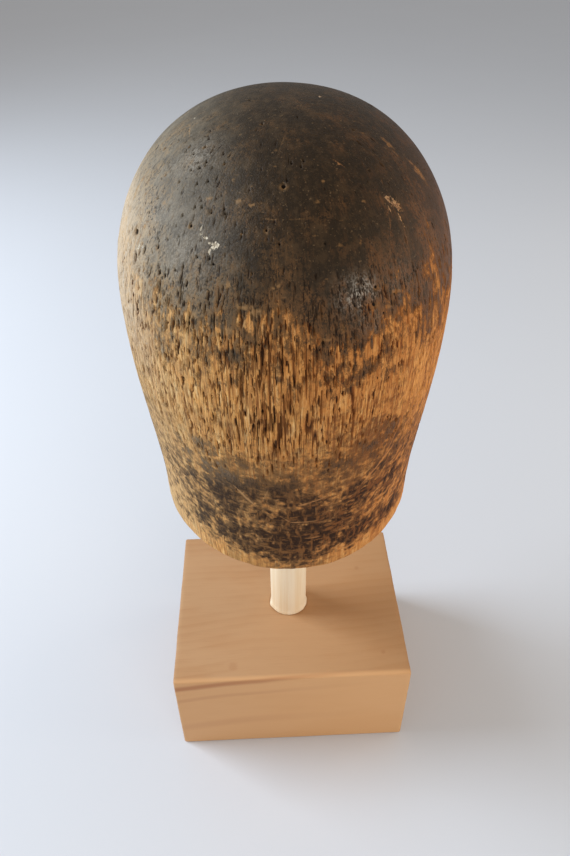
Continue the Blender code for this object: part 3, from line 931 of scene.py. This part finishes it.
class Nodes:
    """A material's node tree, with its usual nodes made in one call each.

    Its tones are colours by name, as they look on a screen. Where a tone has two, it goes over from the
    first to the second as across goes from 0 to 1.
    """

    def __init__(self, name, specular=0.5, tones=None):
        self.material = bpy.data.materials.new(name)
        self.material.use_nodes = True
        self.tree = self.material.node_tree
        self.shader = self.tree.nodes["Principled BSDF"]
        self.shader.inputs["Specular IOR Level"].default_value = specular
        self.place = self.new("TexCoord").outputs["Object"]
        self.tones = tones
        self.across = 0.0

    def new(self, kind, inputs=(), **settings):
        node = self.tree.nodes.new("ShaderNode" + kind)
        for name, value in settings.items():
            setattr(node, name, value)
        for key, value in dict(inputs).items():
            self.give(node.inputs[key], value)
        return node

    def give(self, socket, value):
        if isinstance(value, bpy.types.NodeSocket):
            self.tree.links.new(value, socket)
        elif isinstance(value, tuple) and len(value) == 3 and socket.type == "RGBA":
            socket.default_value = (*value, 1.0)
        else:
            socket.default_value = value

    def math(self, operation, a, b=0.0):
        return self.new("Math", {0: a, 1: b}, operation=operation).outputs[0]

    def times(self, first, *others):
        for other in others:
            first = self.math("MULTIPLY", first, other)
        return first

    def total(self, first, *others):
        for other in others:
            first = self.math("ADD", first, other)
        return first

    def weighed(self, *terms):
        """The sum of several values, each with its weight."""
        return self.total(*(self.times(value, weight) for value, weight in terms))

    def less(self, value, share):
        """1 less a share of a value."""
        return self.total(1.0, self.times(value, -share))

    def swing(self, value, size):
        """A noise of 0 to 1 made to swing to both sides of 0."""
        return self.times(self.total(value, -0.5), size)

    def mix(self, share, a, b):
        return self.new("Mix", {0: share, 6: a, 7: b}, data_type="RGBA").outputs[2]

    def tint(self, name, across=None):
        tones = [srgb(*tone) for tone in self.tones[name]]
        return self.mix(across or self.across, *tones) if len(tones) == 2 else tones[0]

    def over(self, under, share, name):
        """Lays a share of a tone over what is under it."""
        return self.mix(share, under, self.tint(name))

    def between(self, value, low, high, most=1.0, least=0.0):
        """An even curve from least, where the value is low, to most, where it is high."""
        inputs = {"Value": value, "From Min": low, "From Max": high, "To Min": least, "To Max": most}
        return self.new("MapRange", inputs, interpolation_type="SMOOTHSTEP").outputs[0]

    def axis(self, name, low_mm, high_mm):
        """0 to 1 between two places along X, Y or Z."""
        value = self.new("SeparateXYZ", {0: self.place}).outputs[name]
        return self.between(value, low_mm * MM, high_mm * MM)

    def noise(self, size_mm, detail=3.0, roughness=0.55, distortion=0.0, shift=0.0, place=None):
        """Noise from 0 to 1. size_mm is its coarsest cell, or one for each of X, Y and Z."""
        scale = tuple(1 / (size * MM) for size in np.broadcast_to(size_mm, 3))
        place = self.new("VectorMath", {0: place or self.place, 1: scale}, operation="MULTIPLY").outputs[0]
        place = self.new("VectorMath", {0: place, 1: (shift, shift, shift)}, operation="ADD").outputs[0]
        inputs = {"Vector": place, "Scale": 1.0, "Detail": detail, "Roughness": roughness}
        return self.new("TexNoise", {**inputs, "Distortion": distortion}).outputs["Fac"]

    def field(self, name):
        return self.new("Attribute", attribute_name=name).outputs["Fac"]

    def ramp(self, value, stops):
        node = self.new("ValToRGB", {0: value})
        elements = node.color_ramp.elements
        while len(elements) < len(stops):
            elements.new(0.5)
        for element, (position, tone) in zip(elements, stops):
            element.position = position
            element.color = (*srgb(*tone), 1.0)
        return node.outputs[0]

    def bump(self, height, strength, distance_mm):
        inputs = {"Height": height, "Strength": strength, "Distance": distance_mm * MM}
        return self.new("Bump", inputs).outputs[0]

    def finish(self, colour, roughness, normal=None):
        self.give(self.shader.inputs["Base Color"], colour)
        self.give(self.shader.inputs["Roughness"], roughness)
        if normal is not None:
            self.give(self.shader.inputs["Normal"], normal)
        return self.material


# The block's colours, from 0 to 255. Where there are two, they are its left's and its right's: the left's
# cooler and paler and the right's warmer. This is partly the wood's own colour and partly painted light, cool
# light falling from the left and warm light from the right.
BARE_WOOD = ((0.36, (128, 80, 40)), (0.45, (194, 135, 74)), (0.54, (225, 168, 97)), (0.63, (242, 202, 136)))
BLOCK_TONES = {
    "cloud": ((176, 134, 80), (182, 110, 54)),
    "blotch": ((146, 120, 80), (150, 86, 42)),
    "orange": ((208, 134, 66),),
    "orange_and_warm_light": ((238, 158, 80),),
    "bleached_and_cool_lit": ((198, 176, 138),),
    "grime": ((120, 94, 60), (96, 47, 20)),
    "dark_fibre": ((126, 84, 46), (124, 64, 26)),
    "light_fibre": ((230, 200, 150), (238, 168, 86)),
    "dark_thread": ((112, 72, 38), (112, 56, 22)),
    "light_thread": ((238, 192, 124),),
    "finish": ((46, 37, 27), (50, 35, 18)),
    "finish_strand": ((34, 26, 15),),
    "finish_blotch": ((76, 64, 48), (86, 58, 29)),
    "finish_mottle": ((90, 76, 57), (94, 66, 37)),
    "finish_dot": ((132, 106, 76),),
    "low_finish": ((50, 29, 12), (44, 20, 7)),
    "worn_weave": ((128, 95, 56), (144, 80, 34)),
    "red_finish_and_warm_light": ((84, 48, 17),),
    "pale_finish_and_sheen": ((156, 146, 128),),
    "dust_and_sheen": ((182, 176, 166),),
    "thin_finish": ((104, 80, 52), (108, 66, 34)),
    "pale_fringe_and_sheen": ((158, 136, 104),),
    "fringe_pit": ((30, 22, 14),),
    "combed": ((128, 90, 54),),
    "finish_streak": ((34, 25, 17),),
    "faded_edge": ((196, 158, 106), (196, 124, 60)),
    "left_flank_sheen_and_wear": ((208, 188, 162),),
    "slot_edge": ((104, 66, 34), (112, 54, 20)),
    "slot_edge_in_finish": ((44, 31, 20),),
    "slot_bottom": ((36, 20, 11),),
    "rim": ((150, 120, 82), (160, 108, 56)),
    "clean_wood": ((226, 218, 198), (182, 126, 62)),
    "dulled_wood": ((140, 128, 106), (120, 72, 38)),
    "scratch": ((176, 140, 96), (194, 124, 68)),
    "hole": ((22, 15, 10),),
}


def block_material():
    n = Nodes("old_block_wood", 0.16, BLOCK_TONES)
    along = n.new("Attribute", attribute_name="grain").outputs["Vector"]
    fibre = n.noise((1, 1, 16), 4, 0.65, place=along)
    strand = n.noise((2.8, 2.8, 60), 3, 0.6, place=along)
    thread = n.noise((0.55, 0.55, 5.5), 3, 0.6, shift=33, place=along)
    vein = n.noise((1.7, 1.7, 26), 2, 0.5, shift=3, place=along)
    breaks = n.noise((2.6, 2.6, 6), 2, 0.6, shift=5, place=along)
    upright = n.noise((2.4, 2.4, 8), 2, 0.5, shift=27, place=along)
    level = n.noise((7, 7, 2.4), 2, 0.5, shift=25)
    cloud = n.noise((22, 22, 30), 4, 0.6)
    blotch = n.noise((7, 7, 10), 4, 0.65, shift=11)
    mottle = n.noise((2.6, 2.6, 3.8), 5, 0.75)
    speck = n.noise((0.7, 0.7, 1.1), 3, 0.65)
    patch = n.noise((3.4, 3.4, 3.0), 2, 0.5, distortion=0.6, shift=13)
    dents = n.noise((1.7, 1.7, 2.4), 2, 0.5, shift=9)
    dots = n.noise(1.0, 1, 0.5, shift=7)
    pitted = n.noise((1.1, 1.1, 2.6), 1, 0.5, shift=21)
    # From left to right across the block. Tones go cooler and paler to the left and warmer to the right,
    # partly painted light: cool light from the left and warm light from the right.
    right = n.across = n.axis("X", -50, 74)
    far_right = n.axis("X", 36, 80)
    left = n.axis("X", -30, -80)
    pale = n.axis("X", -8, -74)
    low = n.axis("Z", 284, 248)
    not_low = n.less(low, 0.9)
    # A pale place on the left flank: partly wear and partly a painted sheen where the light from the left
    # grazes it.
    left_flank_sheen_and_wear = n.times(n.axis("X", -50, -74), n.axis("Z", 388, 362), n.axis("Z", 290, 330))
    torn = n.field("torn")

    # Bare wood: light and dark fibres, more orange on the right, greyer and paler on the left. The orange on
    # the right is partly painted warm light, and the paler grey on the left is partly painted cool light
    # falling from the left.
    bare = n.ramp(n.weighed((fibre, 0.75), (strand, 0.25)), BARE_WOOD)
    bare = n.over(bare, n.between(cloud, 0.4, 0.6, 0.45), "cloud")
    bare = n.over(bare, n.between(blotch, 0.5, 0.66, 0.5), "blotch")
    bare = n.over(bare, n.times(right, 0.35), "orange")
    bare = n.over(bare, n.times(far_right, n.total(0.52, n.times(low, -0.12))), "orange_and_warm_light")
    bare = n.over(bare, n.times(left, 0.54), "bleached_and_cool_lit")
    grime = n.between(n.total(n.field("grime"), n.swing(patch, 2.4)), 0.1, 1.1, 0.85)
    bare = n.over(bare, grime, "grime")
    streaked = n.less(n.axis("Z", 302, 264), 0.75)
    bare = n.over(bare, n.times(n.between(fibre, 0.49, 0.36, 0.62), streaked), "dark_fibre")
    bare = n.over(bare, n.times(n.between(fibre, 0.54, 0.66, 0.6), streaked), "light_fibre")
    bare = n.over(bare, n.times(n.between(thread, 0.45, 0.36, 0.45), streaked), "dark_thread")
    bare = n.over(bare, n.times(n.between(thread, 0.57, 0.68, 0.35), streaked), "light_thread")

    # How much finish is left, roughened. Its looks where it is thick, from the crown to the patches below.
    loose = n.total(n.weighed((mottle, 5.2), (speck, 2.6), (fibre, 2.8)), -5.3)
    loose = n.total(n.times(loose, n.less(low, 0.65)), n.swing(patch, n.times(low, 3.0)))
    amount = n.total(n.field("finish"), loose)
    thick = n.over(n.tint("finish"), n.between(strand, 0.42, 0.6, 0.4), "finish_strand")
    thick = n.over(thick, n.between(blotch, 0.48, 0.64, 0.45), "finish_blotch")
    thick = n.over(thick, n.between(mottle, 0.5, 0.68, 0.36), "finish_mottle")
    thick = n.over(thick, n.between(dots, 0.66, 0.75, 0.45), "finish_dot")
    thick = n.over(thick, n.times(low, 0.85), "low_finish")
    weave = n.weighed((n.math("MAXIMUM", level, upright), 0.75), (mottle, 0.25))
    thick = n.over(thick, n.times(low, n.between(weave, 0.5, 0.66, 0.8)), "worn_weave")
    # Redder on the far right: partly the finish's own colour and partly painted warm light from the right.
    thick = n.over(thick, n.times(far_right, 0.65), "red_finish_and_warm_light")
    # Paler on the left of the crown: partly worn finish and partly a painted sheen where the light from the
    # left falls.
    worn = n.between(n.weighed((blotch, 0.6), (mottle, 0.3), (speck, 0.5)), 0.55, 0.9, 0.98, 0.45)
    thick = n.over(thick, n.times(pale, worn, not_low), "pale_finish_and_sheen")
    # Grey dust, and on the left of the front partly a painted sheen where the light from the left falls.
    dust_and_sheen_specks = n.between(n.weighed((speck, 0.8), (mottle, 0.5)), 0.6, 0.74, 0.95, 0.12)
    thick = n.over(thick, n.times(n.field("dust_and_sheen"), dust_and_sheen_specks), "dust_and_sheen")

    # It gets thinner and browner towards its broken edges.
    thin = n.tint("thin_finish")
    rubbed = n.between(n.total(mottle, n.times(speck, 0.7), n.times(dents, 0.3)), 0.91, 1.06, 0.9)
    fringe = n.times(n.between(amount, 3.6, 1.2), not_low)
    # The thin finish at the fringe is paler on the left: partly wear and partly painted sheen.
    thick = n.mix(n.times(fringe, rubbed), thick, n.over(thin, pale, "pale_fringe_and_sheen"))
    # Small dark pits along the fringe, painted only: painted shade of pits.
    thick = n.over(thick, n.times(fringe, n.between(pitted, 0.6, 0.67, 0.85)), "fringe_pit")
    combed = n.times(n.between(amount, 2.0, 0.7), not_low, n.less(pale, 1.0))
    thick = n.over(thick, n.times(combed, n.between(thread, 0.51, 0.62, 0.7)), "combed")
    streak = n.between(n.total(fibre, n.times(strand, 0.4)), 0.66, 0.5, 0.45)
    thick = n.over(thick, n.times(streak, n.less(pale, 0.9)), "finish_streak")
    edged = n.times(n.between(amount, -2.6, -0.9, 0.4), n.less(grime, 1.0))
    colour = n.mix(edged, bare, n.tint("faded_edge", n.axis("X", -58, 12)))
    thinned_from = n.total(-1.1, n.times(far_right, -0.8))
    thinned = n.between(amount, thinned_from, -0.1, n.total(0.6, n.times(far_right, 0.25)))
    colour = n.mix(thinned, colour, thin)
    colour = n.mix(n.between(amount, -0.4, 0.25, 0.8), colour, n.mix(0.45, thin, thick))
    covered = n.between(amount, 0.0, 0.8)
    colour = n.mix(covered, colour, thick)
    # Painted sheen, partly wear, in spots on the left flank.
    sheen_and_wear_spots = n.between(n.total(mottle, speck), 0.8, 1.15, 0.9, 0.45)
    colour = n.over(colour, n.times(left_flank_sheen_and_wear, sheen_and_wear_spots), "left_flank_sheen_and_wear")

    # Slots and furrows in the grain: brown at their edges and nearly black where they are deep. The brown and
    # the near black are painted shade, where they sink in.
    reach = n.between(n.total(breaks, n.times(torn, 0.14)), 0.5, 0.72, 0.06, 0.004)
    gap = n.math("ABSOLUTE", n.total(vein, -0.5))
    fine = n.between(n.math("DIVIDE", gap, reach), 1.0, 0.0, 0.5)
    fine = n.times(fine, n.between(torn, 0.03, 0.3))
    slit = n.total(n.math("MAXIMUM", n.field("slit"), fine), n.swing(fibre, torn))
    brown = n.over(n.tint("slot_edge"), covered, "slot_edge_in_finish")
    colour = n.mix(n.between(slit, 0.14, 0.46, 0.85), colour, brown)
    colour = n.over(colour, n.between(slit, 0.45, 0.85, 0.94), "slot_bottom")

    # Rubbed spots, chips, scratches and holes.
    rim = n.times(n.field("rim"), n.total(0.4, n.times(speck, 1.3)))
    colour = n.over(colour, n.between(rim, 0.2, 1.1, 0.75), "rim")
    chip = n.field("chip")
    ragged = n.total(n.swing(speck, 2.4), n.swing(fibre, 1.2))
    chip = n.total(chip, n.times(ragged, n.between(chip, 0.0, 0.2)))
    clean = n.mix(n.between(speck, 0.42, 0.62), n.tint("dulled_wood"), n.tint("clean_wood"))
    colour = n.mix(n.between(chip, 0.4, 0.75), colour, clean)
    scratch = n.times(n.field("scratch"), n.total(0.5, mottle))
    colour = n.over(colour, n.between(scratch, 0.2, 0.8, 0.75), "scratch")
    # Holes are painted nearly black: painted shade inside them.
    colour = n.over(colour, n.between(n.field("hole"), 0.42, 0.6), "hole")

    sheen = n.times(covered, n.less(low, 1.0))
    rough = n.total(0.78, n.times(sheen, -0.28), n.swing(speck, 0.3))
    dented = n.total(0.35, n.times(pale, 0.25))
    relief = n.weighed((n.times(fibre, torn), 2.0), (speck, 0.7), (dents, dented), (fine, -1.6))
    return n.finish(colour, rough, n.bump(relief, 0.9, 0.5))


# The base's growth rings run along X round the tree's middle, in front of the base and rising with X.
TREE_Y_MM = -273
TREE_Z_MM = -40
TREE_SLOPE = 0.12
RING_SPACING_MM = 5.6
# Rings that show as reddish lines: radius in mm, half thickness in mm, strength.
RED_RINGS = (
    (243.2, 1.4, 0.6),
    (236.5, 1.0, 0.2),
    (224.0, 1.4, 0.15),
)
# Small knots on the base's top: X, Y and radius in mm, and strength.
KNOTS = (
    (-38, -50, 4.0, 0.22),
    (51, 26, 2.4, 0.3),
    (60, -44, 2.2, 0.3),
)
KNOT_HEIGHT_MM = 76
BASE_TONES = {
    "early_wood": ((189, 149, 110),),
    "late_wood": ((166, 121, 82),),
    "fibre": ((158, 112, 72),),
    "cloud": ((178, 131, 88),),
    "warm": ((180, 130, 80),),
    "front": ((220, 170, 120), (236, 184, 130)),
    "red_ring": ((150, 88, 52),),
    "knot": ((158, 104, 66),),
    "end": ((164, 116, 74),),
    "end_ring": ((140, 92, 56),),
}


def base_material():
    n = Nodes("base_softwood", 0.3, BASE_TONES)
    # Warmer towards the right: partly the wood's own colour and partly painted warm light from the right.
    warm = n.across = n.axis("X", -60, 70)
    fibre = n.noise((16, 0.8, 0.8), 3, 0.6)
    cloud = n.noise((70, 30, 30), 3, 0.5)
    wave = n.noise((110, 70, 70), 2, 0.4, shift=3)
    x, y, z = n.new("SeparateXYZ", {0: n.place}).outputs
    lifted = n.total(z, n.times(x, -TREE_SLOPE), -TREE_Z_MM * MM)
    ahead = n.total(y, -TREE_Y_MM * MM)
    radius = n.math("SQRT", n.total(n.times(lifted, lifted), n.times(ahead, ahead)))
    radius = n.total(radius, n.swing(wave, 16 * MM), n.swing(fibre, 0.7 * MM))
    ring = n.math("FRACT", n.times(radius, 1 / (RING_SPACING_MM * MM)))
    late = n.times(n.between(ring, 0.2, 0.9), n.between(ring, 1.0, 0.9))
    ringed = n.times(late, n.between(cloud, 0.35, 0.65, 0.3, 0.02))
    colour = n.over(n.tint("early_wood"), ringed, "late_wood")
    colour = n.over(colour, n.between(fibre, 0.5, 0.75, 0.16), "fibre")
    colour = n.over(colour, n.between(cloud, 0.42, 0.62, 0.35), "cloud")
    colour = n.over(colour, n.times(warm, 0.35), "warm")

    # The front face is a little lighter: painted light, where the light from in front falls on it.
    colour = n.over(colour, n.times(n.axis("Y", -56, -59), 0.55), "front")
    for radius_mm, half_mm, strength in RED_RINGS:
        gap = n.math("ABSOLUTE", n.total(radius, n.times(wave, -9 * MM), (4.5 - radius_mm) * MM))
        mark = n.between(gap, 1.5 * half_mm * MM, 0.2 * half_mm * MM, strength)
        colour = n.over(colour, n.times(mark, n.axis("X", 70, -62)), "red_ring")
    for x_mm, y_mm, radius_mm, strength in KNOTS:
        knot = (x_mm * MM, y_mm * MM, KNOT_HEIGHT_MM * MM)
        away = n.new("VectorMath", {0: n.place, 1: knot}, operation="DISTANCE").outputs["Value"]
        away = n.total(away, n.times(n.total(wave, fibre, -1.0), radius_mm * MM))
        colour = n.over(colour, n.between(away, radius_mm * MM, 0.3 * radius_mm * MM, strength), "knot")

    # The two ends show the rings themselves, and are a little darker.
    end = n.total(n.axis("X", 75.0, 75.8), n.axis("X", -75.0, -75.8))
    colour = n.over(colour, n.times(end, 0.3), "end")
    colour = n.over(colour, n.times(end, late, 0.3), "end_ring")
    rough = n.total(0.56, n.times(fibre, 0.14))
    return n.finish(colour, rough, n.bump(n.total(fibre, n.times(late, 0.5)), 0.1, 0.12))


BIRCH = ((0.35, (236, 214, 180)), (0.5, (243, 225, 196)), (0.65, (247, 233, 209)))
POST_TONES = {"fibre": ((214, 186, 146),)}


def post_material():
    n = Nodes("birch", tones=POST_TONES)
    fibre = n.noise((0.8, 0.8, 22), 3, 0.6)
    colour = n.ramp(n.noise((3.8, 3.8, 120), 3, 0.6), BIRCH)
    colour = n.over(colour, n.between(fibre, 0.52, 0.8, 0.16), "fibre")
    rough = n.total(0.5, n.times(fibre, 0.15))
    return n.finish(colour, rough, n.bump(fibre, 0.12, 0.15))


def floor_material():
    n = Nodes("pale_floor", 0.2)
    colour = n.mix(n.noise(330, 2), *FLOOR_COLOURS)
    return n.finish(colour, FLOOR_ROUGHNESS)


# The studio.

CAMERA_PLACE = (-0.01162, -0.29894, 0.47812)
CAMERA_TURN_DEG = (50.5437, 0.4784, -2.4054)
CAMERA_LENS_MM = 29.219
CAMERA_SENSOR_MM = 36.0
CAMERA_CLIP = (0.01, 50.0)
FLOOR_HALF = 6.0
FLOOR_COLOURS = ((0.67, 0.70, 0.76), (0.69, 0.72, 0.78))
FLOOR_ROUGHNESS = 0.85
LAMP_AIM = (0.0, 0.0, 0.22)
WORLD_COLOUR = (1.0, 0.96, 0.91)
WORLD_STRENGTH = 0.44
# Name, place, width and height in metres, watts and colour.
LAMPS = (
    ("window", (-1.25, 0.30, 0.95), (0.8, 0.8), 24.0, (0.82, 0.91, 1.0)),
    ("room", (0.35, -1.6, 0.75), (1.5, 1.0), 9.4, (1.0, 0.90, 0.77)),
    ("wall", (1.25, 0.1, 0.45), (1.0, 0.8), 5.2, (1.0, 0.84, 0.64)),
)


def camera():
    data = bpy.data.cameras.new("camera")
    data.lens = CAMERA_LENS_MM
    data.sensor_width = CAMERA_SENSOR_MM
    data.clip_start, data.clip_end = CAMERA_CLIP
    eye = new_object("camera", data)
    eye.location = CAMERA_PLACE
    eye.rotation_euler = Euler([math.radians(turn) for turn in CAMERA_TURN_DEG])
    bpy.context.scene.camera = eye


def floor():
    mesh = bpy.data.meshes.new("floor")
    corners = [(x * FLOOR_HALF, y * FLOOR_HALF, 0) for x, y in ((-1, -1), (1, -1), (1, 1), (-1, 1))]
    mesh.from_pydata(corners, [], [(0, 1, 2, 3)])
    mesh.materials.append(floor_material())
    ground = new_object("floor", mesh)


def lamp(name, place, size, watts, colour):
    data = bpy.data.lights.new(name, "AREA")
    data.shape = "RECTANGLE"
    data.size, data.size_y = size
    data.energy = watts
    data.color = colour
    light = new_object(name, data)
    light.location = place
    light.rotation_euler = (Vector(LAMP_AIM) - Vector(place)).to_track_quat("-Z", "Y").to_euler()


def studio():
    world = bpy.data.worlds.new("studio")
    world.use_nodes = True
    background = world.node_tree.nodes["Background"]
    background.inputs["Color"].default_value = (*WORLD_COLOUR, 1.0)
    background.inputs["Strength"].default_value = WORLD_STRENGTH
    bpy.context.scene.world = world
    for settings in LAMPS:
        lamp(*settings)
    bpy.context.scene.view_settings.view_transform = "Standard"


camera()
floor()
studio()
head_piece().data.materials.append(block_material())
post_piece().data.materials.append(post_material())
base_piece().data.materials.append(base_material())
